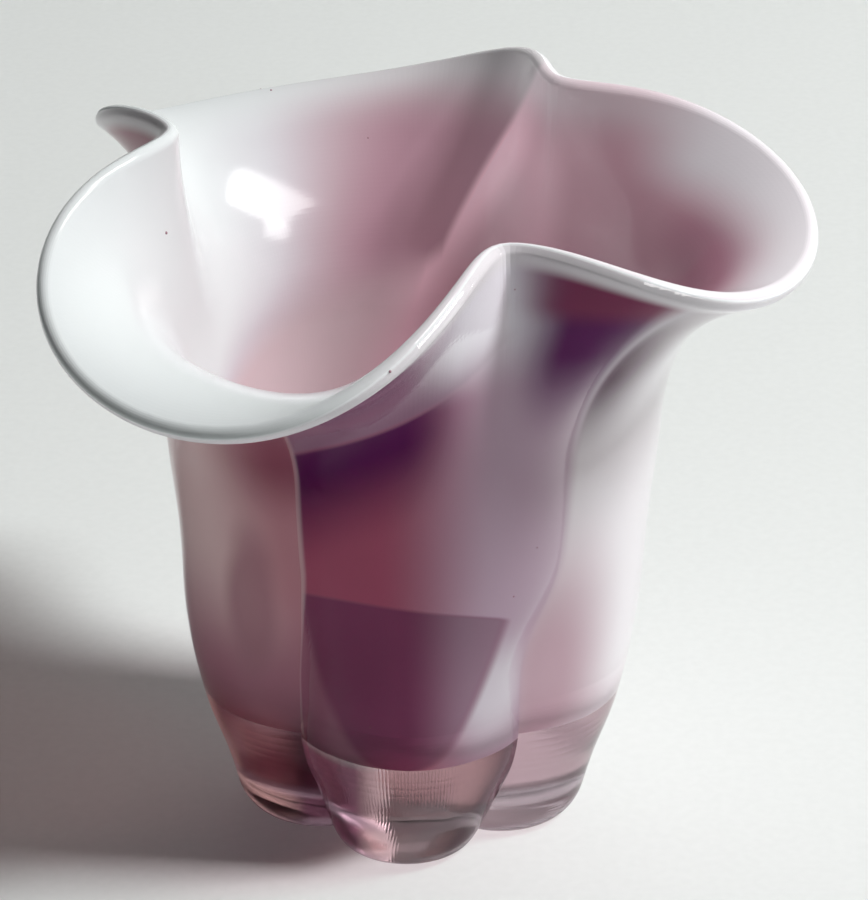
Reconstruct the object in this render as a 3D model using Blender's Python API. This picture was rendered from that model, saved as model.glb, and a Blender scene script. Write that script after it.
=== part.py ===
"""Crimped vase: one piece of blown, cased glass on a five-lobed foot, with a flared and crimped rim.

Metres, +Z up. The origin is on the table under the vase's axis. Directions are degrees about +Z from +X.
"""

import math

import bmesh
import bpy
import numpy as np

# The pressed body: five lobes that meet in sharp grooves
LOBES = 5
FOOT_TIP_RADIUS = 0.0400
FOOT_GROOVE_RADIUS = 0.0270
ANKLE_HEIGHT = 0.014
ANKLE_TIP_RADIUS = 0.0435
ANKLE_GROOVE_RADIUS = 0.0347
BOWL_HEIGHT = 0.031
BOWL_TIP_RADIUS = 0.0490
BOWL_GROOVE_RADIUS = 0.0415
WAIST_HEIGHT = 0.053
WAIST_TIP_RADIUS = 0.0530
WAIST_GROOVE_RADIUS = 0.0425
SHOULDER_HEIGHT = 0.076
SHOULDER_TIP_RADIUS = 0.0545
SHOULDER_GROOVE_RADIUS = 0.0484
NECK_HEIGHT = 0.101
NECK_TIP_RADIUS = 0.0573
NECK_GROOVE_RADIUS = 0.0510

# Foot edge, rounded off above the table
TOE_HEIGHT = 0.007
TOE_INSET = 0.0040

# Direction of the front lobe, which turns a little as the wall rises
FOOT_LOBE_DIRECTION = -93.0
BODY_LOBE_DIRECTION = -90.5
NECK_LOBE_DIRECTION = -83.5
FOOT_TURN_HEIGHT = 0.020
TWIST_START_HEIGHT = 0.045
TWIST_END_HEIGHT = 0.080

# The flare: from the neck the wall bends outwards along an arc of this length
FLARE_LENGTH = 0.058
# Three crimped folds stand nearly upright: direction, final bend, and reach to the right and to the left
FOLDS = (
    {"direction": -68.0, "bend": -5.0, "before": 25.5, "after": 20.0, "roundness": 1.6},
    {"direction": 52.0, "bend": 1.0, "before": 36.0, "after": 24.5, "roundness": 1.7},
    {"direction": 167.0, "bend": 0.0, "before": 19.5, "after": 41.0, "roundness": 1.9},
)
# Final bend of the broad lobe that follows each fold: right, back and front left
LOBE_BENDS = (78.0, 97.0, 112.0)

# Glass thickness, and the cavity inside
LIP_THICKNESS = 0.0042
LOWER_WALL = 0.0075
INSIDE_LOBE_SHARE = 0.55
FLOOR_HEIGHT = 0.028
FLOOR_CURVE_HEIGHT = 0.018

# Mesh density
STEPS_PER_LOBE = 18
TOE_RINGS = 3
BODY_RINGS = 9
FLARE_RINGS = 10
LIP_RINGS = 5
INNER_BODY_RINGS = 5
FLOOR_RINGS = 6
CREASE_ANGLE = 28.0
NORMAL_STEP = 0.0002
# Radians: a straighter wall than this counts as very slightly bent, so that its arc has a radius
SMALLEST_BEND = 1e-6

GLASS_COLOUR = (0.42, 0.20, 0.34, 1.0)
GLASS_ROUGHNESS = 0.06
GLASS_IOR = 1.5

HALF_LOBE = math.radians(180 / LOBES)
RIM = NECK_HEIGHT + FLARE_LENGTH
BODY_STATIONS = (
    (0.0, FOOT_TIP_RADIUS, FOOT_GROOVE_RADIUS),
    (ANKLE_HEIGHT, ANKLE_TIP_RADIUS, ANKLE_GROOVE_RADIUS),
    (BOWL_HEIGHT, BOWL_TIP_RADIUS, BOWL_GROOVE_RADIUS),
    (WAIST_HEIGHT, WAIST_TIP_RADIUS, WAIST_GROOVE_RADIUS),
    (SHOULDER_HEIGHT, SHOULDER_TIP_RADIUS, SHOULDER_GROOVE_RADIUS),
    (NECK_HEIGHT, NECK_TIP_RADIUS, NECK_GROOVE_RADIUS),
)


def ease(value, start, end):
    """0 up to start, 1 from end on, and a smooth rise between them."""
    share = np.clip((value - start) / (end - start), 0.0, 1.0)
    return share * share * (3.0 - 2.0 * share)


def through_stations(column, height):
    """A smooth curve through one column of the body stations that never overshoots them."""
    known = np.array([station[0] for station in BODY_STATIONS])
    value = np.array([station[column] for station in BODY_STATIONS])
    step = np.diff(known)
    rise = np.diff(value) / step
    slope = np.concatenate((rise[:1], np.zeros(len(step) - 1), rise[-1:]))
    same_way = rise[:-1] * rise[1:] > 0
    total = np.where(same_way, rise[:-1] + rise[1:], 1.0)
    slope[1:-1] = np.where(same_way, 2.0 * rise[:-1] * rise[1:] / total, 0.0)
    height = np.clip(height, known[0], known[-1])
    span = np.clip(np.searchsorted(known, height) - 1, 0, len(step) - 1)
    share = (height - known[span]) / step[span]
    back = 1.0 - share
    return (
        value[span] * (1.0 + 2.0 * share) * back**2
        + value[span + 1] * share**2 * (3.0 - 2.0 * share)
        + step[span] * (slope[span] * share * back**2 - slope[span + 1] * share**2 * back)
    )


def lobe_direction(run):
    """Direction of the front lobe's middle, run metres up the wall."""
    foot = (BODY_LOBE_DIRECTION - FOOT_LOBE_DIRECTION) * ease(run, 0.0, FOOT_TURN_HEIGHT)
    body = (NECK_LOBE_DIRECTION - BODY_LOBE_DIRECTION) * ease(run, TWIST_START_HEIGHT, TWIST_END_HEIGHT)
    return FOOT_LOBE_DIRECTION + foot + body


def tip_and_groove(run):
    """Radius at the lobes' tips and in the grooves, which fade out towards the rim."""
    toe = 1.0 - np.clip(run / TOE_HEIGHT, 0.0, 1.0)
    inset = TOE_INSET * (1.0 - np.sqrt(1.0 - toe * toe))
    tip = through_stations(1, run) - inset
    groove = through_stations(2, run) - inset * FOOT_GROOVE_RADIUS / FOOT_TIP_RADIUS
    return tip, groove + (tip - groove) * ease(run, NECK_HEIGHT, RIM)


def sharp_section(direction, run):
    """Outside radius: each lobe is an arc about a centre off the axis, and the arcs cross in the grooves."""
    tip, groove = tip_and_groove(run)
    turn = np.radians(direction - lobe_direction(run)) + HALF_LOBE
    turn = np.mod(turn, 2.0 * HALF_LOBE) - HALF_LOBE
    centre = (tip**2 - groove**2) / (2.0 * (tip - groove * math.cos(HALF_LOBE)))
    arc = tip - centre
    return centre * np.cos(turn) + np.sqrt(np.maximum(arc**2 - (centre * np.sin(turn)) ** 2, 0.0))


def soft_section(direction, run):
    """Shallower lobes as soft waves, which is how the cavity inside follows the outside."""
    tip, groove = tip_and_groove(run)
    wave = np.cos(LOBES * np.radians(direction - lobe_direction(run)))
    return (tip + groove) / 2.0 + INSIDE_LOBE_SHARE * (tip - groove) / 2.0 * wave


def final_bend(direction):
    """How far the wall has bent from upright at the rim, in radians."""
    bend = np.zeros_like(direction)
    for fold, following, lobe in zip(FOLDS, FOLDS[1:] + FOLDS[:1], LOBE_BENDS):
        gap = (following["direction"] - fold["direction"]) % 360
        past = np.mod(direction - fold["direction"], 360)
        left = np.maximum(gap - past, 0.0)
        near = np.exp(-((past / fold["after"]) ** fold["roundness"]))
        ahead = np.exp(-((left / following["before"]) ** following["roundness"]))
        here = lobe + (fold["bend"] - lobe) * near + (following["bend"] - lobe) * ahead
        bend = np.where(past < gap, here, bend)
    return np.radians(bend)


def wall_point(section, direction, run):
    """Points on the wall with the given section: upright to the neck, then along the flare's arc."""
    bend = final_bend(direction)
    bend = np.where(np.abs(bend) < SMALLEST_BEND, SMALLEST_BEND, bend)
    curve = FLARE_LENGTH / bend
    angle = np.maximum(run - NECK_HEIGHT, 0.0) / curve
    radius = section(direction, run) + curve * (1.0 - np.cos(angle))
    height = np.minimum(run, NECK_HEIGHT) + curve * np.sin(angle)
    turn = np.radians(direction)
    return np.stack((radius * np.cos(turn), radius * np.sin(turn), height), axis=-1)


def unit(vectors):
    return vectors / np.linalg.norm(vectors, axis=-1, keepdims=True)


def directions(run):
    """One direction for each column of the mesh, with a column on every tip and groove."""
    count = LOBES * STEPS_PER_LOBE
    return lobe_direction(run) + np.arange(count) * 360.0 / count


def frame_at(run):
    """Soft wall points at one run, with the way up the wall and the way out of it."""
    way = directions(run)
    point = wall_point(soft_section, way, run)
    up = unit(wall_point(soft_section, way, run + NORMAL_STEP) - wall_point(soft_section, way, run - NORMAL_STEP))
    around = unit(np.roll(point, -1, axis=0) - np.roll(point, 1, axis=0))
    return point, up, unit(np.cross(around, up))


def wall_thickness(run):
    return LOWER_WALL + (LIP_THICKNESS - LOWER_WALL) * ease(run, BOWL_HEIGHT, RIM)


def outer_rings():
    toe = TOE_HEIGHT * (1.0 - np.cos(np.linspace(0.0, math.pi / 2, TOE_RINGS + 1)))
    body = np.linspace(TOE_HEIGHT, NECK_HEIGHT, BODY_RINGS + 1)[1:]
    flare = np.linspace(NECK_HEIGHT, RIM, FLARE_RINGS + 1)[1:]
    return [wall_point(sharp_section, directions(run), run) for run in (*toe, *body, *flare)]


def lip_rings():
    """The rim is fire-polished: a half round from the outside to the inside."""
    point, up, out = frame_at(RIM)
    half = LIP_THICKNESS / 2.0
    middle = point - out * half
    angles = np.linspace(0.0, math.pi, LIP_RINGS + 2)[1:-1]
    return [middle + out * half * math.cos(angle) + up * half * math.sin(angle) for angle in angles]


def inner_rings():
    """Down the inside of the wall and across the rounded floor of the cavity."""
    floor_top = FLOOR_HEIGHT + FLOOR_CURVE_HEIGHT
    flare = np.linspace(RIM, NECK_HEIGHT, FLARE_RINGS + 1)
    body = np.linspace(NECK_HEIGHT, floor_top, INNER_BODY_RINGS + 1)[1:]
    rings = []
    for run in (*flare, *body):
        point, _, out = frame_at(run)
        rings.append(point - out * wall_thickness(run))
    edge = rings[-1]
    for angle in np.linspace(math.pi / 2, 0.0, FLOOR_RINGS + 1)[1:-1]:
        ring = edge * math.sin(angle)
        ring[:, 2] = FLOOR_HEIGHT + (edge[:, 2] - FLOOR_HEIGHT) * (1.0 - math.cos(angle))
        rings.append(ring)
    return rings


def skin(mesh, rings):
    """Faces between each ring and the next; returns the rings of vertices."""
    rows = [[mesh.verts.new(point) for point in ring.tolist()] for ring in rings]
    for lower, upper in zip(rows, rows[1:]):
        for i in range(len(lower)):
            j = (i + 1) % len(lower)
            mesh.faces.new((lower[i], lower[j], upper[j], upper[i]))
    return rows


def glass_material():
    material = bpy.data.materials.new("amethyst_glass")
    material.use_nodes = True
    shader = material.node_tree.nodes["Principled BSDF"]
    shader.inputs["Base Color"].default_value = GLASS_COLOUR
    shader.inputs["Roughness"].default_value = GLASS_ROUGHNESS
    shader.inputs["Metallic"].default_value = 0.0
    shader.inputs["IOR"].default_value = GLASS_IOR
    return material


def build_vase():
    mesh = bmesh.new()
    rows = skin(mesh, outer_rings() + lip_rings() + inner_rings())
    mesh.faces.new(reversed(rows[0]))
    floor = mesh.verts.new((0.0, 0.0, FLOOR_HEIGHT))
    for i, corner in enumerate(rows[-1]):
        mesh.faces.new((corner, rows[-1][(i + 1) % len(rows[-1])], floor))
    bmesh.ops.recalc_face_normals(mesh, faces=mesh.faces)
    data = bpy.data.meshes.new("vase")
    mesh.to_mesh(data)
    mesh.free()
    data.materials.append(glass_material())
    data.shade_smooth()
    data.set_sharp_from_angle(angle=math.radians(CREASE_ANGLE))
    vase = bpy.data.objects.new("vase", data)
    bpy.context.collection.objects.link(vase)


for old in list(bpy.data.objects):
    bpy.data.objects.remove(old, do_unlink=True)
build_vase()
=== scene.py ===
"""Looks of the crimped vase: clear amethyst glass over a milky lining, on a pale table in window light."""

import math

import bpy
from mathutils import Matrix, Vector

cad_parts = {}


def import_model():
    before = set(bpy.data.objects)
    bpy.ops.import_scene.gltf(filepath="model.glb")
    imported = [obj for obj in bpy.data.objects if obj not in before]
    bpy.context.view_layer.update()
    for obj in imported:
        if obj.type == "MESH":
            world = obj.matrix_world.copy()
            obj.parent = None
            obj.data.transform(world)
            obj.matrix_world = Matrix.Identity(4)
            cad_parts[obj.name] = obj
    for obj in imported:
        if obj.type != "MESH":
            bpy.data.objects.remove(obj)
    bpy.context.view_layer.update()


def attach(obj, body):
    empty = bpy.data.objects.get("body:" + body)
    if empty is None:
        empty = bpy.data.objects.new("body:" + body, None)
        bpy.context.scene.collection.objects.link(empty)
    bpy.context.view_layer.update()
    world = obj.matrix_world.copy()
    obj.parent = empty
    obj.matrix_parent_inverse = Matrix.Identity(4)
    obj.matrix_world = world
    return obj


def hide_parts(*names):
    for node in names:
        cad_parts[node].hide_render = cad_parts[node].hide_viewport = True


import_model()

# Sizes in metres and directions in degrees about +Z from +X, as in the solid
LOBES = 5
NECK_HEIGHT = 0.101
FLARE_LENGTH = 0.058
RIM = NECK_HEIGHT + FLARE_LENGTH
# Height, radius at the lobes' tips, radius in the grooves
BODY_STATIONS = (
    (0.000, 0.0400, 0.0270),
    (0.014, 0.0435, 0.0347),
    (0.031, 0.0490, 0.0415),
    (0.053, 0.0530, 0.0425),
    (0.076, 0.0545, 0.0484),
    (0.101, 0.0573, 0.0510),
)
# Between these radii lie all those of the stations
RADIUS_RANGE = (0.020, 0.060)
# How softly the body's slope ends at the neck, as a share of its height
NECK_SOFTNESS = 0.16
# Heights between which the lobes turn from the foot's direction to the body's, and on to the neck's
FOOT_TURN = (0.0, 0.020)
BODY_TURN = (0.045, 0.080)
# The wall is at its thickest up to this height
THICK_UP_TO = 0.031
# A wall that bends by less than this, in radians, counts as straight
STRAIGHT = 0.0001
# The upright folds: where each stands, how far it bends outwards, and how far and how abruptly it
# gives way to the lobes before and after it
FOLDS = (
    {"direction": -68.0, "bend": -5.0, "before": 25.5, "after": 20.0, "roundness": 1.6},
    {"direction": 52.0, "bend": 1.0, "before": 36.0, "after": 24.5, "roundness": 1.7},
    {"direction": 167.0, "bend": 0.0, "before": 19.5, "after": 41.0, "roundness": 1.9},
)
# How far the rim's lobe after each fold bends outwards
LOBE_BENDS = (78.0, 97.0, 112.0)

# Mesh rows and columns of the glass
COLUMNS = 400
TOE_ROWS = 14
BODY_ROWS = 58
FLARE_ROWS = 56
LIP_ROWS = 12
FLOOR_ROWS = 12
UNDERSIDE_ROWS = 6
TOE_HEIGHT = 0.007
# Heights where the milk's underside and the hollow's floor start to curve in
MILK_CURVE_HEIGHT = 0.038
HOLLOW_CURVE_HEIGHT = 0.050
# Both are squarer than an ellipse, whose power would be 1
FLOOR_POWER = 2.0 / 3.0
# The underside's rows crowd towards its edge by this power
UNDERSIDE_CROWDING = 2.5
# Edges that turn by more degrees than this look sharp
CREASE_ANGLE = 28.0
MERGE_DISTANCE = 0.00001
# Angles round the half-round lip, in radians: where the casing's lap starts to sink, where it ends, how
# deep it sinks there, and where the milk comes up to the surface
LAP_FALL = 0.9
LAP_END = 1.65
LAP_SINK = 0.00025
MILK_RISE = (0.7, 1.7)
# Share of the way over the lip where the casing's outer side gives way to its inner side
LAP_TURN = (0.45, 0.55)
# Fixes where the seeds lie
SEED = 7

# Camera, worked out from the photograph's perspective
CAMERA_ELEVATION = math.radians(26.9)
CAMERA_DISTANCE = 1.0
CAMERA_TARGET = Vector((0.0052, 0.0, 0.0876))
CAMERA_LENS = 176.0

# The window that lights the vase from the right
VASE_MIDDLE = Vector((0.0, 0.0, 0.1))
WINDOW_DISTANCE = 2.5
# Watts for each square metre of a pane that is mirrored in the glass
PANE_POWER = 26.0

# The table top, from its front edge to where it curves up into the backdrop
TABLE_FRONT = -2.0
TABLE_BACK = 1.2
TABLE_HALF_WIDTH = 3.0
BACKDROP_RADIUS = 0.6
BACKDROP_HEIGHT = 3.0
BACKDROP_STEPS = 10
# The glass stands this little above the table, so that the two surfaces stay apart
TABLE_GAP = 0.0003


class Socket:
    """An output socket of a node tree. Maths on it adds Math nodes to the tree."""

    def __init__(self, tree, output=None):
        self.tree = tree
        self.output = output

    def node(self, kind, settings=None, values=None, output=0):
        """Adds a node: its settings, which decide what sockets it has, and then their values and links."""
        node = self.tree.nodes.new(kind)
        for name, value in (settings or {}).items():
            setattr(node, name, value)
        for name, value in (values or {}).items():
            if isinstance(value, Socket):
                self.tree.links.new(value.output, node.inputs[name])
            else:
                node.inputs[name].default_value = value
        return Socket(self.tree, node.outputs[output] if node.outputs else None)

    def math(self, operation, *values):
        return self.node("ShaderNodeMath", {"operation": operation}, dict(enumerate(values)))

    def other(self, name):
        """Another output of the same node."""
        return Socket(self.tree, self.output.node.outputs[name])

    def __add__(self, value):
        return self.math("ADD", self, value)

    def __radd__(self, value):
        return self.math("ADD", value, self)

    def __sub__(self, value):
        return self.math("SUBTRACT", self, value)

    def __rsub__(self, value):
        return self.math("SUBTRACT", value, self)

    def __mul__(self, value):
        return self.math("MULTIPLY", self, value)

    def __rmul__(self, value):
        return self.math("MULTIPLY", value, self)

    def __truediv__(self, value):
        return self.math("DIVIDE", self, value)

    def __rtruediv__(self, value):
        return self.math("DIVIDE", value, self)

    def __pow__(self, value):
        return self.math("POWER", self, value)

    def __mod__(self, value):
        return self.math("FLOORED_MODULO", self, value)

    def __lt__(self, value):
        return self.math("LESS_THAN", self, value)

    def __gt__(self, value):
        return self.math("GREATER_THAN", self, value)

    def ease(self, start, end, low=0.0, high=1.0):
        """low up to start, high from end on, and a smooth rise between them."""
        values = {"Value": self, "From Min": start, "From Max": end, "To Min": low, "To Max": high}
        return self.node("ShaderNodeMapRange", {"interpolation_type": "SMOOTHSTEP"}, values)

    def ramp(self, start, end, low=0.0, high=1.0):
        """low up to start, high from end on, and a straight rise between them."""
        values = {"Value": self, "From Min": start, "From Max": end, "To Min": low, "To Max": high}
        return self.node("ShaderNodeMapRange", {"clamp": True}, values)

    def mix(self, a, b):
        """a where this is 0 and b where it is 1."""
        return self.node("ShaderNodeMix", {"data_type": "FLOAT"}, {0: self, 2: a, 3: b})

    def mix_vector(self, a, b):
        return self.node("ShaderNodeMix", {"data_type": "VECTOR"}, {0: self, 4: a, 5: b}, 1)

    def mix_colour(self, a, b, blend="MIX"):
        settings = {"data_type": "RGBA", "blend_type": blend}
        return self.node("ShaderNodeMix", settings, {0: self, 6: a, 7: b}, 2)


def vector_math(base, operation, *vectors):
    return base.node("ShaderNodeVectorMath", {"operation": operation}, dict(enumerate(vectors)))


def scaled(base, vector, scale):
    return base.node("ShaderNodeVectorMath", {"operation": "SCALE"}, {0: vector, "Scale": scale})


# The glass: one node group makes both layers from the same rule as the solid


def wall_inputs():
    """Name and value of every size that the node group takes."""
    sizes = {
        "Lobes": LOBES,
        "Neck Height": NECK_HEIGHT,
        "Flare Length": FLARE_LENGTH,
        "Toe Height": TOE_HEIGHT,
        "Toe Inset": 0.004,
        "Foot Direction": -93.0,
        "Body Direction": -90.5,
        "Neck Direction": -83.5,
        "Lip Thickness": 0.0042,
        "Lower Wall": 0.0075,
        "Inside Lobe Share": 0.55,
        "Floor Height": 0.028,
        "Lining Thickness": 0.0022,
        "Lining At Lip": 0.0037,
        "Overlap": 0.0003,
    }
    for i, (fold, lobe) in enumerate(zip(FOLDS, LOBE_BENDS), 1):
        for name, value in fold.items():
            sizes[f"Fold {i} {name.title()}"] = value
        sizes[f"Lobe {i} Bend"] = lobe
    return sizes


def profile(base, height, neck, column):
    """Radius of the body at a height, from a curve through one column of the body stations."""
    # The body's slope dies out softly at the neck, so that no edge shows there
    share = base.math("SMOOTH_MIN", height / neck, 1.0, NECK_SOFTNESS)
    radius = base.node("ShaderNodeFloatCurve", None, {"Factor": 1.0, "Value": share})
    mapping = radius.output.node.mapping
    curve = mapping.curves[0]
    low, high = RADIUS_RANGE
    while len(curve.points) < len(BODY_STATIONS):
        curve.points.new(0.5, 0.5)
    for point, station in zip(curve.points, BODY_STATIONS):
        point.location = station[0] / NECK_HEIGHT, (station[column] - low) / (high - low)
        point.handle_type = "AUTO_CLAMPED"
    mapping.update()
    return radius * (high - low) + low


def lobe_direction(size, run):
    """Direction of the front lobe's middle, in degrees."""
    foot = (size["Body Direction"] - size["Foot Direction"]) * run.ease(*FOOT_TURN)
    body = (size["Neck Direction"] - size["Body Direction"]) * run.ease(*BODY_TURN)
    return size["Foot Direction"] + foot + body


def tip_and_groove(base, size, run):
    """Radii at the lobes' tips and in the grooves, which fade out up the flare."""
    neck = size["Neck Height"]
    toe = 1.0 - run.ramp(0.0, size["Toe Height"])
    inset = size["Toe Inset"] * (1.0 - base.math("SQRT", 1.0 - toe * toe))
    tip = profile(base, run, neck, 1) - inset
    groove = profile(base, run, neck, 2) - inset * (BODY_STATIONS[0][2] / BODY_STATIONS[0][1])
    return tip, groove + (tip - groove) * run.ease(neck, neck + size["Flare Length"])


def section(base, size, direction, run, sharp):
    """Radius of the wall: sharp lobes outside, or soft waves inside."""
    tip, groove = tip_and_groove(base, size, run)
    turn = direction - lobe_direction(size, run)
    if not sharp:
        wave = base.math("COSINE", base.math("RADIANS", turn * size["Lobes"]))
        return (tip + groove) / 2.0 + size["Inside Lobe Share"] * (tip - groove) / 2.0 * wave
    half_lobe = 180.0 / size["Lobes"]
    turn = base.math("RADIANS", (turn + half_lobe) % (2.0 * half_lobe) - half_lobe)
    groove_along = groove * base.math("COSINE", base.math("RADIANS", half_lobe))
    centre = (tip * tip - groove * groove) / (2.0 * (tip - groove_along))
    arc = tip - centre
    across = centre * base.math("SINE", turn)
    along = base.math("SQRT", base.math("MAXIMUM", arc * arc - across * across, 0.0))
    return centre * base.math("COSINE", turn) + along


def final_bend(base, size, direction):
    """How far the wall has bent from upright at the rim, in radians."""
    bend = 0.0
    for i in (1, 2, 3):
        after = i % 3 + 1
        start, end = size[f"Fold {i} Direction"], size[f"Fold {after} Direction"]
        lobe = size[f"Lobe {i} Bend"]
        gap = (end - start) % 360.0
        past = (direction - start) % 360.0
        left = base.math("MAXIMUM", gap - past, 0.0)
        behind = (past / size[f"Fold {i} After"]) ** size[f"Fold {i} Roundness"]
        ahead = (left / size[f"Fold {after} Before"]) ** size[f"Fold {after} Roundness"]
        behind = (size[f"Fold {i} Bend"] - lobe) * base.math("EXPONENT", 0.0 - behind)
        ahead = (size[f"Fold {after} Bend"] - lobe) * base.math("EXPONENT", 0.0 - ahead)
        bend = bend + (past < gap) * (lobe + behind + ahead)
    return base.math("RADIANS", bend)


def wall_point(base, size, direction, run, sharp):
    """A point of the wall: upright to the neck, then along the flare's arc."""
    bend = final_bend(base, size, direction)
    # A straight wall counts as very slightly bent, so that its arc has a radius
    bend = bend + (base.math("ABSOLUTE", bend) < STRAIGHT) * (2.0 * STRAIGHT)
    curve = size["Flare Length"] / bend
    angle = base.math("MAXIMUM", run - size["Neck Height"], 0.0) / curve
    radius = section(base, size, direction, run, sharp) + curve * (1.0 - base.math("COSINE", angle))
    height = base.math("MINIMUM", run, size["Neck Height"]) + curve * base.math("SINE", angle)
    turn = base.math("RADIANS", direction)
    x, y = radius * base.math("COSINE", turn), radius * base.math("SINE", turn)
    return base.node("ShaderNodeCombineXYZ", None, {"X": x, "Y": y, "Z": height})


def grid(base, columns, rows):
    """A flat grid with one vertex on every whole number, and each vertex's column and row from 0 on."""
    values = {"Size X": columns, "Size Y": rows, "Vertices X": columns + 1, "Vertices Y": rows + 1}
    mesh = base.node("GeometryNodeMeshGrid", None, values)
    place = base.node("ShaderNodeSeparateXYZ", None, {0: base.node("GeometryNodeInputPosition")})
    column = base.math("ROUND", place + columns / 2.0)
    row = base.math("ROUND", place.other("Y") + rows / 2.0)
    return mesh, column, row


def row_at(height):
    """The first row of the body at or above a height over the toe."""
    share = (height - TOE_HEIGHT) / (NECK_HEIGHT - TOE_HEIGHT)
    return TOE_ROWS + math.ceil((BODY_ROWS - TOE_ROWS) * share)


def run_of(size, row):
    """Length up the wall at a row: even steps of angle round the toe, then even steps of length."""
    angle = row.ramp(0.0, TOE_ROWS, 0.0, math.pi / 2.0)
    toe = size["Toe Height"] * (1.0 - row.math("COSINE", angle))
    body = row.ramp(TOE_ROWS, BODY_ROWS, 0.0, size["Neck Height"] - size["Toe Height"])
    return toe + body + row.ramp(BODY_ROWS, BODY_ROWS + FLARE_ROWS, 0.0, size["Flare Length"])


def sampled(base, mesh, value, index):
    """A vector of the mesh at the vertex with the given number."""
    settings = {"data_type": "FLOAT_VECTOR", "domain": "POINT"}
    values = {"Geometry": mesh, "Value": value, "Index": index}
    return base.node("GeometryNodeSampleIndex", settings, values)


def stored(base, mesh, name, value):
    """The mesh with a number kept at each vertex under a name that materials can read."""
    settings = {"data_type": "FLOAT", "domain": "POINT"}
    values = {"Geometry": mesh, "Name": name, "Value": value}
    return base.node("GeometryNodeStoreNamedAttribute", settings, values)


def new_group(title, kinds, numbers):
    """A geometry node group with inputs of the given kinds and numbers, and their sockets by name."""
    tree = bpy.data.node_groups.new(title, "GeometryNodeTree")
    tree.interface.new_socket("Geometry", in_out="OUTPUT", socket_type="NodeSocketGeometry")
    for name, kind in {"Geometry": "Geometry", "Material": "Material", **kinds}.items():
        tree.interface.new_socket(name, in_out="INPUT", socket_type="NodeSocket" + kind)
    for name, value in numbers.items():
        socket = tree.interface.new_socket(name, in_out="INPUT", socket_type="NodeSocketFloat")
        socket.default_value = value
    base = Socket(tree)
    given = base.node("NodeGroupInput")
    inputs = {item.name: given.other(item.name) for item in given.output.node.outputs if item.name}
    return tree, base, inputs


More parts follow.
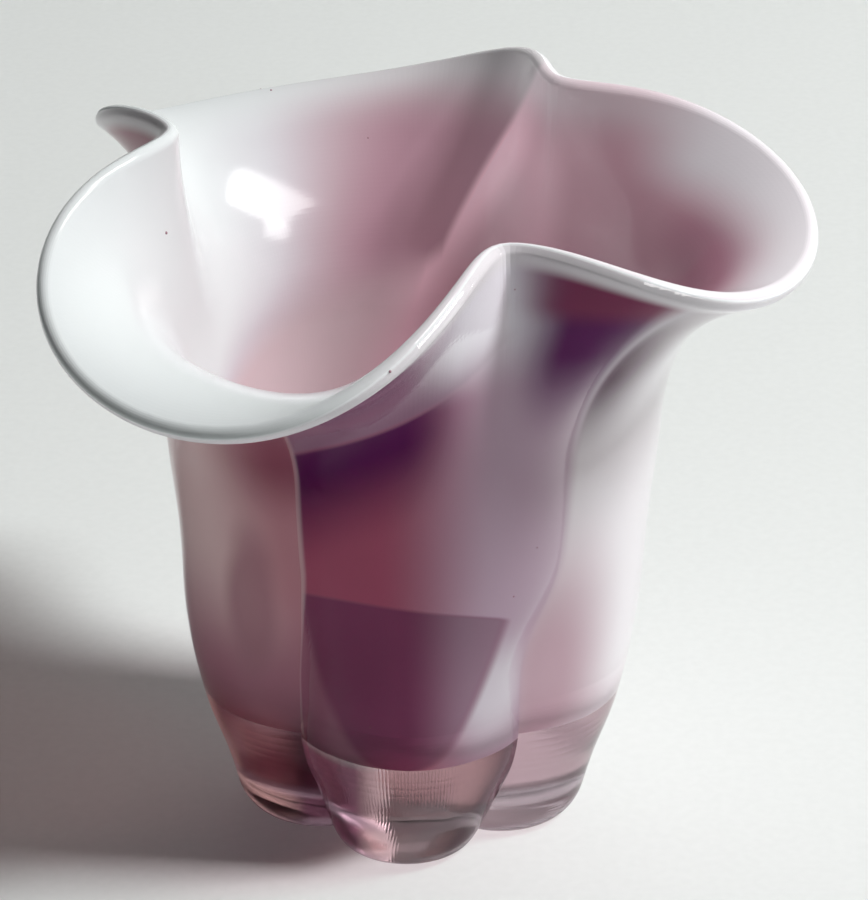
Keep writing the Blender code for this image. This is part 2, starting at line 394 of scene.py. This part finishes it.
def wall_group():
    """Geometry node group of a blown wall. Lining 0 gives the clear casing and foot, 1 the milky shell."""
    tree, base, size = new_group("Blown wall", {"Lining": "Float"}, wall_inputs())
    lining = size["Lining"]
    neck, rim = size["Neck Height"], size["Neck Height"] + size["Flare Length"]
    rows = BODY_ROWS + FLARE_ROWS
    # The casing closes over the milk's underside, and the lining both there and at the hollow's floor
    milk_row = row_at(MILK_CURVE_HEIGHT)
    floor_row = lining.mix(milk_row, row_at(HOLLOW_CURVE_HEIGHT))

    # The soft guide wall, one column wider at both ends so that its normals meet at the seam
    guide, column, row = grid(base, COLUMNS + 2, rows)
    run = run_of(size, row)
    direction = lobe_direction(size, run) + (column - 1.0) * (360.0 / COLUMNS)
    soft_wall = wall_point(base, size, direction, run, False)
    guide = base.node("GeometryNodeSetPosition", None, {"Geometry": guide, "Position": soft_wall})

    # The profile's rows: underside, outside, lip, inside and floor of the cavity
    all_rows = UNDERSIDE_ROWS + rows + LIP_ROWS + 1 + (rows - milk_row) + FLOOR_ROWS
    mesh, column, row = grid(base, COLUMNS, all_rows)
    outside = base.math("MAXIMUM", row - float(UNDERSIDE_ROWS), 0.0)
    past_rim = base.math("MAXIMUM", outside - rows, 0.0)
    lip = past_rim.ramp(0.0, LIP_ROWS + 1.0)
    down = base.math("MAXIMUM", past_rim - (LIP_ROWS + 1.0), 0.0)
    inside = down > 0.0
    under = base.math("MAXIMUM", milk_row - outside, 0.0) * lining
    first_row = base.math("MAXIMUM", outside, lining * milk_row)
    guide_row = base.math("MINIMUM", first_row, rows) - base.math("MINIMUM", down, rows - floor_row)
    floor_share = (down - (rows - floor_row)).ramp(0.0, FLOOR_ROWS) + under / milk_row
    run = run_of(size, guide_row)
    direction = lobe_direction(size, run) + column * (360.0 / COLUMNS)
    index = (column + 1.0) * (rows + 1.0) + guide_row
    position = base.node("GeometryNodeInputPosition")
    soft = sampled(base, guide, position, index)
    out = sampled(base, guide, base.node("GeometryNodeInputNormal"), index)

    # How deep each side of this layer lies under the soft guide
    wall = run.ease(THICK_UP_TO, rim, size["Lower Wall"], size["Lip Thickness"])
    milk = run.ease(neck, rim, size["Lining Thickness"], size["Lining At Lip"])
    outer_depth = lining * (wall - milk)
    inner_depth = wall - (1.0 - lining) * (milk - size["Overlap"])
    depth = inside.mix(outer_depth, inner_depth)
    # The lip is a half round. The casing laps over its outer half only and sinks into the milk there
    half = size["Lip Thickness"] / 2.0
    there_and_back = 1.0 - base.math("ABSOLUTE", lip * 2.0 - 1.0)
    angle = lining.mix(there_and_back * LAP_END, lip * math.pi)
    film = size["Lip Thickness"] - size["Lining At Lip"]
    casing_reach = half - angle.ease(LAP_FALL, LAP_END, 0.0, LAP_SINK)
    casing_reach = casing_reach - lip.ease(*LAP_TURN) * (film + size["Overlap"])
    milk_reach = half - angle.ease(*MILK_RISE, 1.0, 0.0) * film
    reach = lining.mix(casing_reach, milk_reach)
    sideways = half - reach * base.math("COSINE", angle)
    in_lip = (past_rim > 0.0) * (1.0 - inside)
    depth = in_lip.mix(depth, sideways)
    rise = in_lip * reach * base.math("SINE", angle)

    # Up the wall, from the guide's neighbouring row
    below = sampled(base, guide, position, index - 1.0)
    up = vector_math(base, "NORMALIZE", vector_math(base, "SUBTRACT", soft, below))
    layer = vector_math(base, "SUBTRACT", soft, scaled(base, out, depth))
    layer = vector_math(base, "ADD", layer, scaled(base, up, rise))
    sharp = wall_point(base, size, direction, run, True)
    is_sharp = (1.0 - lining) * (1.0 - (past_rim > 0.0))
    place = is_sharp.mix_vector(layer, sharp)

    # The cavity's floor, and the underside, close towards the axis
    parts = base.node("ShaderNodeSeparateXYZ", None, {0: place})
    floor_angle = (1.0 - floor_share) * (math.pi / 2.0)
    floor_height = size["Floor Height"] - (1.0 - lining) * (size["Lining Thickness"] - size["Overlap"])
    floor_height = floor_height - lining * (1.0 - inside) * size["Lining Thickness"]
    # The underside's rows crowd towards the toe, so that the shading turns only there
    rest = 1.0 - row.ramp(0.0, UNDERSIDE_ROWS)
    narrow = base.math("SINE", floor_angle) ** FLOOR_POWER * (1.0 - rest ** UNDERSIDE_CROWDING)
    on_floor = floor_share > 0.0
    rounding = base.math("MAXIMUM", base.math("COSINE", floor_angle), 0.0) ** FLOOR_POWER
    curved = floor_height + (parts.other("Z") - floor_height) * (1.0 - rounding)
    height = on_floor.mix(parts.other("Z"), curved)
    values = {"X": parts * narrow, "Y": parts.other("Y") * narrow, "Z": height}
    place = base.node("ShaderNodeCombineXYZ", None, values)

    mesh = stored(base, mesh, "inside", (past_rim > (LIP_ROWS + 1.0) / 2.0) * 1.0)
    mesh = stored(base, mesh, "up_wall", run)
    mesh = base.node("GeometryNodeSetPosition", None, {"Geometry": mesh, "Position": place})
    mesh = base.node("GeometryNodeMergeByDistance", None, {"Geometry": mesh, "Distance": MERGE_DISTANCE})
    smooth = 1.0 - (base.node("GeometryNodeInputMeshEdgeAngle") > math.radians(CREASE_ANGLE))
    values = {"Geometry": mesh, "Shade Smooth": smooth}
    mesh = base.node("GeometryNodeSetShadeSmooth", {"domain": "EDGE"}, values)
    mesh = base.node("GeometryNodeSetMaterial", None, {"Geometry": mesh, "Material": size["Material"]})
    base.node("NodeGroupOutput", None, {0: mesh})
    return tree


def made_by(tree, name, values):
    """A plain mesh object made by a geometry node group with the given inputs."""
    piece = bpy.data.objects.new(name, bpy.data.meshes.new(name))
    bpy.context.collection.objects.link(piece)
    modifier = piece.modifiers.new("Geometry", "NODES")
    modifier.node_group = tree
    for item in tree.interface.items_tree:
        if item.in_out == "INPUT" and item.name in values:
            modifier[item.identifier] = values[item.name]
    piece.update_tag()
    bpy.context.view_layer.update()
    shown = piece.evaluated_get(bpy.context.evaluated_depsgraph_get())
    data = bpy.data.meshes.new_from_object(shown)
    data.name = name
    piece.modifiers.remove(modifier)
    piece.data = data
    return piece


def seed_group():
    """Geometry node group of the small seeds that blowing leaves in glass, scattered over a wall."""
    tree, base, size = new_group("Seeds", {"Wall": "Object"}, {"Density": 330.0, "Radius": 0.00036})
    wall = base.node("GeometryNodeObjectInfo", None, {"Object": size["Wall"]}, "Geometry")
    scatter = {"Mesh": wall, "Density": size["Density"], "Seed": SEED}
    points = base.node("GeometryNodeDistributePointsOnFaces", None, scatter)
    ball = base.node("GeometryNodeMeshIcoSphere", None, {"Radius": size["Radius"], "Subdivisions": 2})
    scale = base.node("FunctionNodeRandomValue", None, {2: 0.45, 3: 1.1, "Seed": SEED}, 1)
    placing = {"Points": points, "Instance": ball, "Scale": scale}
    seeds = base.node("GeometryNodeInstanceOnPoints", None, placing)
    seeds = base.node("GeometryNodeRealizeInstances", None, {"Geometry": seeds})
    seeds = base.node("GeometryNodeSetMaterial", None, {"Geometry": seeds, "Material": size["Material"]})
    base.node("NodeGroupOutput", None, {0: seeds})
    return tree


def new_material(name):
    material = bpy.data.materials.new(name)
    material.use_nodes = True
    material.node_tree.nodes.clear()
    base = Socket(material.node_tree)
    return material, base


def around_vase(base):
    """Place, direction about the axis and turn from the front lobe's middle in degrees, and height."""
    place = base.node("ShaderNodeTexCoord", None, None, "Object")
    parts = base.node("ShaderNodeSeparateXYZ", None, {0: place})
    height = parts.other("Z")
    direction = base.math("DEGREES", base.math("ARCTAN2", parts.other("Y"), parts))
    size = wall_inputs()
    turn = (direction - lobe_direction(size, height) + 180.0) % 360.0 - 180.0
    return place, direction, turn, height


def patch(base, turn, height, middle, spread, within=0.5, beyond=0.5):
    """1 in the middle of an oval patch and 0 outside it. Its edge is soft by shares of its spread."""
    across = (turn - middle[0]) / spread[0]
    up = (height - middle[1]) / spread[1]
    away = base.math("SQRT", across * across + up * up)
    return away.ease(1.0 - within, 1.0 + beyond, 1.0, 0.0)


def casing_material():
    material, base = new_material("amethyst_casing")
    place = base.node("ShaderNodeTexCoord", None, None, "Object")
    wave = base.node("ShaderNodeTexNoise", None, {"Vector": place, "Scale": 45.0, "Detail": 1.0})
    bump = base.node("ShaderNodeBump", None, {"Height": wave, "Strength": 0.12, "Distance": 0.002})
    across = base.node("ShaderNodeSeparateXYZ", None, {0: place})
    height = across.other("Z")
    # The foot is deeper in colour and softer to look through. Painted shade, for the vase's own shadow
    # and dark surroundings seen through the glass: darker to the left, with a darker zone on its left,
    # a dark ring half way up it and a dark toe
    haze = wave.ramp(0.3, 0.7, 0.0, 0.03) + height.ease(0.030, 0.044, 0.05, 0.0)
    foot = across.ease(-0.030, 0.035).mix_colour((0.36, 0.11, 0.10, 1.0), (0.62, 0.44, 0.50, 1.0))
    darker = across.ease(-0.033, -0.024) * across.ease(-0.013, -0.003, 1.0, 0.0)
    foot = darker.mix_colour(foot, (0.03, 0.004, 0.010, 1.0))
    ring = height.ease(0.0105, 0.0130) * height.ease(0.0140, 0.0165, 1.0, 0.0)
    ring = base.math("MAXIMUM", ring * 0.5, height.ease(0.002, 0.005, 0.5, 0.0))
    foot = ring.mix_colour(foot, (0.13, 0.06, 0.09, 1.0))
    tint = height.ease(0.030, 0.048).mix_colour(foot, (0.97, 0.945, 0.955, 1.0))
    glass = base.node("ShaderNodeBsdfPrincipled", None, {
        "Base Color": tint,
        "Transmission Weight": 1.0,
        "IOR": 1.5,
        "Roughness": haze,
        "Normal": bump,
    })
    clear = base.node("ShaderNodeBsdfTransparent", None, {"Color": (0.92, 0.87, 0.885, 1.0)})
    path = base.node("ShaderNodeLightPath", None, None, "Is Shadow Ray")
    straight = base.math("MAXIMUM", path, path.other("Is Diffuse Ray"))
    surface = base.node("ShaderNodeMixShader", None, {0: straight, 1: glass, 2: clear})
    base.node("ShaderNodeOutputMaterial", None, {"Surface": surface})
    return material


def painted(colour, layers):
    """A colour with each layer's mask and colour mixed over it in turn."""
    for mask, over in layers:
        colour = mask.mix_colour(colour, (*over, 1.0))
    return colour


def inner_colours(base, direction, height, run):
    """Colour and painted glow of the lining seen from inside: white on the lit left, rose deep down and
    on the shaded right, where the rose is partly the glass's tint and partly painted shade.
    """
    # Degrees to both sides of direction 12 up to which the inside is coloured, wider deep down.
    # deep and high are millimetres below and above the height where the border bends
    deep = base.math("MAXIMUM", 0.118 - height, 0.0) * 1000.0
    high = base.math("MAXIMUM", height - 0.118, 0.0) * 1000.0
    border = 109.0 + 0.06 * deep * deep - 0.45 * high
    beyond = base.math("ABSOLUTE", direction - 12.0) - border
    lip = 1.0 - run.ease(RIM - 0.022, RIM - 0.002, 0.0, 0.8)
    lavender = (beyond - 12.0).ease(-20.0, 15.0, 1.0, 0.0) * lip
    rose = (beyond + 8.0).ease(-15.0, 15.0, 1.0, 0.0) * lip
    # Painted shade: the rose darkens higher up
    shade_high = height.ease(0.098, 0.116)
    # Painted light: below a slanting line the wall is painted rosier and made to glow, for light that
    # comes through it
    line = 0.116 + base.math("MAXIMUM", 82.0 - direction, -30.0) * 0.0007
    line = line + base.math("MAXIMUM", 82.0 - direction, 0.0) * 0.0014
    right = direction.ease(-103.0, -68.0)
    soft = base.math("MAXIMUM", direction - 86.0, 0.0) * 0.0010 + 0.002
    lit = (line - height).ease(0.0 - soft, 2.0 * soft) * direction.ease(92.0, 122.0, 1.0, 0.0) * right
    # Painted shade on the side turned from the window, darkest in a patch below the rim and lighter again
    # at the rim
    shaded = direction.ease(44.0, 56.0, 1.0, 0.0) * right
    dark = patch(base, direction, height, (-5.0, 0.137), (20.0, 0.009), 0.6, 0.4)
    rim = height.ease(0.138, 0.150) * direction.ease(18.0, 36.0, 1.0, 0.0) * right
    colour = painted((0.78, 0.82, 0.83, 1.0), [
        (lavender, (0.66, 0.62, 0.67)),
        (rose, (0.64, 0.51, 0.54)),
        (rose * shade_high, (0.45, 0.26, 0.32)),
        (lit * lip, (0.80, 0.52, 0.60)),
        (shaded * lip, (0.60, 0.35, 0.42)),
        (dark, (0.43, 0.20, 0.27)),
        (rim, (0.78, 0.74, 0.78)),
        # Painted shade: darker towards the hollow's floor
        (height.ease(0.034, 0.066, 1.0, 0.0), (0.58, 0.43, 0.46)),
    ])
    # Painted light: a slanting stripe glows where a cast shadow falls on the wall
    slanted = direction + (height - 0.130) * 500.0
    stripe = patch(base, slanted, height, (78.0, 0.134), (12.0, 0.030), 0.6, 0.3)
    painted_glow = lit * height.ease(0.110, 0.146, 0.04, 0.20) + stripe * 0.25
    return colour, painted_glow


def outer_colours(base, direction, turn, height, run):
    """Colour and painted glow of the lining seen through the casing: painted shade, light and reflection
    over the glass's purple and rose in front, white to the right.
    """
    front = turn.ease(-38.0, -34.0) * turn.ease(36.0, 42.0, 1.0, 0.0)
    rose = direction.ease(-98.0, -68.0, 1.0, 0.0)
    # Painted shade: purple under a slanting edge on the front lobe, with a mauve band from there to
    # the lip that is a painted reflection of the table under the flare
    top = 0.130 + (direction + 84.0) * 0.00058
    over_top = (height - top).ease(-0.001, 0.0015)
    purple = direction.ease(-92.0, -74.0, 1.0, 0.0) * (height - top).ease(-0.032, -0.006)
    purple = purple * (1.0 - over_top)
    # Painted light and shade: pale under the lip, where the fold's flank is lit, and painted shade
    # on the flank to its right, with a brown top
    pale = height.ease(0.126, 0.145) * direction.ease(-92.0, -80.0)
    past_edge = direction.ease(-45.0, -43.0)
    flank = direction.ease(-68.0, -56.0) * height.ease(0.110, 0.136) * (1.0 - past_edge)
    brown = flank * height.ease(0.142, 0.149)
    # Painted shade just past that edge, under the right lobe
    shade_beside = patch(base, direction, height, (-42.0, 0.130), (17.0, 0.024), 0.9, 0.3) * past_edge
    corner = patch(base, direction, height, (-66.0, 0.047), (13.0, 0.015), 0.7, 0.4)
    # Painted shade: the dark pool low on the front lobe, with an arched top edge and sides that narrow
    # downwards
    arch = (direction + 100.0) / 28.0
    pool_top = (height + arch * arch * 0.004).ease(0.0738, 0.0752, 1.0, 0.0)
    depth = base.math("MAXIMUM", height - 0.027, 0.0) / 0.037
    off_middle = base.math("ABSOLUTE", direction + 93.5)
    pool = pool_top * (off_middle - depth ** 0.46 * 28.5).ease(-4.0, 1.5, 1.0, 0.0)
    around_pool = pool_top * direction.ease(-105.0, -84.0, 1.0, 0.0)
    # The lobe on the left, painted rosy and made to glow for light that comes through its wall, with
    # painted shade towards its groove, and darker low down and in an upright ellipse
    left = turn.ease(-38.0, -34.0, 1.0, 0.0) * turn.ease(-110.0, -90.0)
    groove = direction.ease(-150.0, -124.0)
    low = height.ease(0.040, 0.080, 1.0, 0.0)
    lean = base.math("MINIMUM", height - 0.080, 0.0) * 300.0
    ellipse = patch(base, direction - lean, height, (-135.5, 0.066), (8.0, 0.022), 0.5, 0.3)
    # The front lobe's painted light and shade, over the glass's purple and rose
    front_light_and_shade = painted((0.54, 0.42, 0.52, 1.0), [
        (rose, (0.46, 0.11, 0.19)),
        (purple, (0.10, 0.004, 0.085)),
        (over_top, (0.32, 0.17, 0.26)),
        (pale, (0.84, 0.86, 0.91)),
        (flank, (0.12, 0.022, 0.115)),
        (brown, (0.22, 0.05, 0.11)),
        (corner, (0.70, 0.68, 0.74)),
        (around_pool, (0.38, 0.15, 0.23)),
        (pool, (0.25, 0.06, 0.14)),
        (pool * direction.ease(-92.0, -74.0), (0.32, 0.21, 0.28)),
    ])
    colour = painted((0.88, 0.90, 0.92, 1.0), [
        (shade_beside, (0.12, 0.065, 0.10)),
        (patch(base, direction, height, (-42.0, 0.045), (20.0, 0.040), 0.8, 0.3), (0.60, 0.44, 0.50)),
    ])
    colour = front.mix_colour(colour, front_light_and_shade)
    # Painted shade on the curl at the left back and on the flare's underside in front
    hook = turn.ease(-150.0, -138.0) * turn.ease(-108.0, -100.0, 1.0, 0.0) * height.ease(0.132, 0.142)
    shade_under_rim = run.ease(RIM - 0.020, RIM - 0.006) * turn.ease(-36.0, -14.0, 1.0, 0.0)
    colour = painted(colour, [
        (left, (0.82, 0.62, 0.62)),
        (left * groove, (0.52, 0.25, 0.29)),
        (left * groove * height.ease(0.088, 0.106), (0.27, 0.08, 0.12)),
        (left * low, (0.40, 0.18, 0.24)),
        (left * ellipse * 0.7, (0.34, 0.16, 0.20)),
        (shade_under_rim, (0.46, 0.38, 0.42)),
        (hook, (0.40, 0.15, 0.20)),
        (run.ease(RIM - 0.004, RIM - 0.0005), (0.84, 0.86, 0.88)),
    ])
    # Painted light: a glow on the right, where the flare shades the body from the window, and on the left
    # lobe
    bright = turn.ease(38.0, 50.0) * height.ease(0.095, 0.135, 0.03, 0.20)
    painted_glow = left * 0.08 + bright
    return colour, painted_glow


def lining_material():
    material, base = new_material("opal_lining")
    place, direction, turn, height = around_vase(base)
    run = base.node("ShaderNodeAttribute", {"attribute_name": "up_wall"}, None, "Fac")
    inside = base.node("ShaderNodeAttribute", {"attribute_name": "inside"}, None, "Fac") > 0.5
    inner, inner_painted_glow = inner_colours(base, direction, height, run)
    outer, outer_painted_glow = outer_colours(base, direction, turn, height, run)
    cloud = base.node("ShaderNodeTexNoise", None, {"Vector": place, "Scale": 22.0, "Detail": 2.0})
    colour = inside.mix_colour(outer, inner)
    colour = cloud.ramp(0.3, 0.7, 0.0, 0.06).mix_colour(colour, (1.0, 1.0, 1.0, 1.0), "SOFT_LIGHT")
    milk = base.node("ShaderNodeBsdfPrincipled", None, {
        "Base Color": colour,
        "Roughness": 0.5,
        "Specular IOR Level": 0.0,
        "Coat Weight": inside * height.ease(0.102, 0.124),
        "Coat Roughness": 0.14,
        "Emission Color": scaled(base, colour, inside.mix(outer_painted_glow, inner_painted_glow)),
        "Emission Strength": 1.0,
    })
    # The faint glow is painted light and needs no light sampling of its own
    material.cycles.emission_sampling = "NONE"
    # A little rosy light passes through the milk
    light = base.node("ShaderNodeBsdfTransparent", None, {"Color": (0.26, 0.13, 0.12, 1.0)})
    path = base.node("ShaderNodeLightPath", None, None, "Is Shadow Ray")
    surface = base.node("ShaderNodeMixShader", None, {0: path, 1: milk, 2: light})
    base.node("ShaderNodeOutputMaterial", None, {"Surface": surface})
    return material


def seed_material():
    material, base = new_material("glass_seeds")
    place = base.node("ShaderNodeTexCoord", None, None, "Object")
    mottle = base.node("ShaderNodeTexNoise", None, {"Vector": place, "Scale": 60.0, "Detail": 1.0})
    colour = mottle.ramp(0.35, 0.65).mix_colour((0.30, 0.10, 0.15, 1.0), (0.52, 0.36, 0.40, 1.0))
    grain = base.node("ShaderNodeBsdfPrincipled", None, {"Base Color": colour, "Roughness": 0.2})
    base.node("ShaderNodeOutputMaterial", None, {"Surface": grain})
    return material


def table_material():
    material, base = new_material("pale_table")
    place = base.node("ShaderNodeTexCoord", None, None, "Object")
    grain = base.node("ShaderNodeTexNoise", None, {"Vector": place, "Scale": 400.0, "Detail": 1.0})
    colour = grain.ramp(0.3, 0.7).mix_colour((0.81, 0.835, 0.825, 1.0), (0.83, 0.855, 0.845, 1.0))
    # Mirrored in the glass the table in front stays dark, as the photograph's deep colours show
    ahead = base.node("ShaderNodeSeparateXYZ", None, {0: place}).other("Y").ease(-0.10, 0.05, 1.0, 0.0)
    path = base.node("ShaderNodeLightPath", None, None, "Is Glossy Ray")
    mirrored = path * (1.0 - path.other("Is Transmission Ray")) * ahead
    # Painted reflection: the table in front is coloured dark where the glass mirrors it
    colour = mirrored.mix_colour(colour, (0.10, 0.10, 0.11, 1.0))
    cloth = base.node("ShaderNodeBsdfPrincipled", None, {"Base Color": colour, "Roughness": 0.8})
    base.node("ShaderNodeOutputMaterial", None, {"Surface": cloth})
    return material


def table():
    """A table top that curves up into the backdrop far behind the vase."""
    data = bpy.data.meshes.new("table")
    path = [(TABLE_FRONT, 0.0), (TABLE_BACK, 0.0)]
    for step in range(1, BACKDROP_STEPS + 1):
        angle = math.radians(90.0 / BACKDROP_STEPS * step)
        back = TABLE_BACK + BACKDROP_RADIUS * math.sin(angle)
        path.append((back, BACKDROP_RADIUS - BACKDROP_RADIUS * math.cos(angle)))
    path.append((TABLE_BACK + BACKDROP_RADIUS, BACKDROP_HEIGHT))
    points = [(x, y, z) for y, z in path for x in (-TABLE_HALF_WIDTH, TABLE_HALF_WIDTH)]
    faces = [(2 * i, 2 * i + 1, 2 * i + 3, 2 * i + 2) for i in range(len(path) - 1)]
    data.from_pydata(points, [], faces)
    data.shade_smooth()
    data.materials.append(table_material())
    floor = bpy.data.objects.new("table", data)
    floor.location.z = -TABLE_GAP
    bpy.context.collection.objects.link(floor)
    return floor


def window_pane(name, azimuth, elevation, size, power):
    """A rectangular area light that faces the vase from the given direction."""
    lamp = bpy.data.lights.new(name, "AREA")
    lamp.shape = "RECTANGLE"
    lamp.size, lamp.size_y = size
    lamp.energy = power
    lamp.color = (1.0, 0.995, 0.985)
    light = bpy.data.objects.new(name, lamp)
    turn, lift = math.radians(azimuth), math.radians(elevation)
    towards = Vector((math.cos(turn) * math.cos(lift), math.sin(turn) * math.cos(lift), math.sin(lift)))
    light.rotation_euler = towards.to_track_quat("Z", "Y").to_euler()
    light.location = VASE_MIDDLE + towards * WINDOW_DISTANCE
    bpy.context.collection.objects.link(light)
    return light


def window():
    """A small bright key light, a weak fill from the left, and panes that only mirror in the glass."""
    fill = window_pane("room_fill", 175.0, 24.0, (1.6, 1.6), 1.5)
    fill.visible_glossy = False
    key = window_pane("window_key", -8.0, 50.0, (0.5, 0.5), 69.0)
    key.visible_glossy = False
    for name, azimuth, elevation, size in (
        ("pane_main", -5.0, 54.0, (1.9, 1.0)),
        ("pane_lower", -27.0, 38.0, (0.7, 0.45)),
    ):
        pane = window_pane(name, azimuth, elevation, size, PANE_POWER * size[0] * size[1])
        pane.visible_diffuse = False
        pane.visible_transmission = False


def world():
    sky = bpy.data.worlds.new("room")
    sky.use_nodes = True
    sky.node_tree.nodes.clear()
    base = Socket(sky.node_tree)
    values = {"Color": (0.90, 0.93, 0.95, 1.0), "Strength": 0.02}
    light = base.node("ShaderNodeBackground", None, values)
    base.node("ShaderNodeOutputWorld", None, {"Surface": light})
    bpy.context.scene.world = sky


def camera():
    lens = bpy.data.cameras.new("camera")
    lens.lens = CAMERA_LENS
    lens.sensor_width = 36.0
    view = bpy.data.objects.new("camera", lens)
    back = Vector((0.0, -math.cos(CAMERA_ELEVATION), math.sin(CAMERA_ELEVATION)))
    view.location = CAMERA_TARGET + back * CAMERA_DISTANCE
    view.rotation_euler = back.to_track_quat("Z", "Y").to_euler()
    bpy.context.collection.objects.link(view)
    bpy.context.scene.camera = view


walls = wall_group()
casing = made_by(walls, "clear_casing", {"Lining": 0.0, "Material": casing_material()})
lining = made_by(walls, "opal_lining", {"Lining": 1.0, "Material": lining_material()})
seeds = made_by(seed_group(), "glass_seeds", {"Wall": lining, "Material": seed_material()})
for piece, slot in ((casing, "amethyst_glass"), (lining, "opal_lining"), (seeds, "amethyst_glass")):
    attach(piece, "root")
    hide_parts("vase")

table()
window()
world()
camera()

bpy.context.scene.view_settings.view_transform = "Standard"
